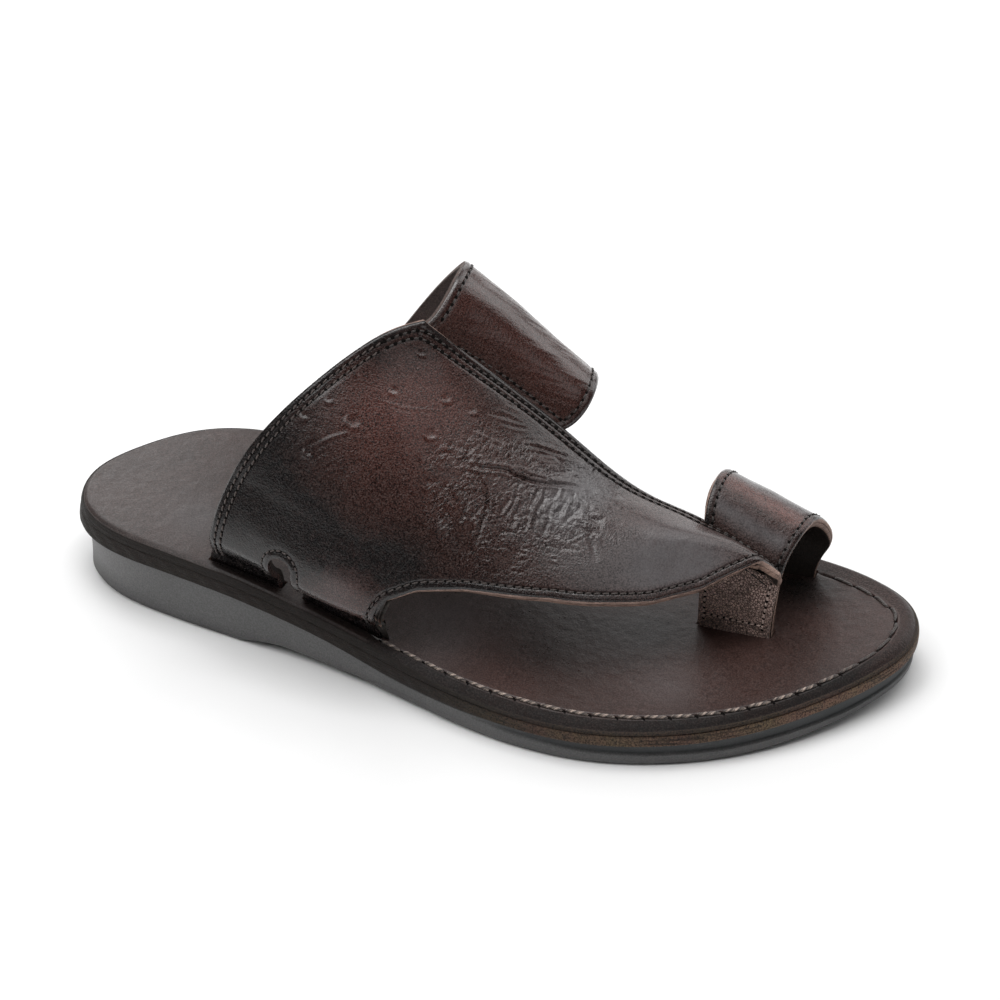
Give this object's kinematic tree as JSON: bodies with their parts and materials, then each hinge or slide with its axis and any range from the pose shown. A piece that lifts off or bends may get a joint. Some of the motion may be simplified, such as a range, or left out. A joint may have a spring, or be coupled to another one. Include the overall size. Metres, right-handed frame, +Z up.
{
  "type": "toe strap sandal",
  "caption": "Leather slide sandal with an asymmetric vamp, an instep band, a big-toe loop, a leather footbed and a one-piece low-heeled rubber sole.",
  "frame": {"origin": "on the floor, under the middle of the sandal's bounding box", "axes": "+X to the toe, +Y to the inner (medial, big-toe) side, +Z up"},
  "size_m": [0.282, 0.1129, 0.1209],
  "materials": {
    "outsole": "matte dark grey rubber",
    "midsole": "dark burnished leather edge",
    "insole": "smooth brown leather, soft sheen",
    "upper": "dark brown waxed leather, semi-gloss, burnished at the edges"
  },
  "bodies": {
    "root": {"outsole": "outsole", "midsole": "midsole", "insole": "insole", "upper": "upper"}
  },
  "joints": []
}
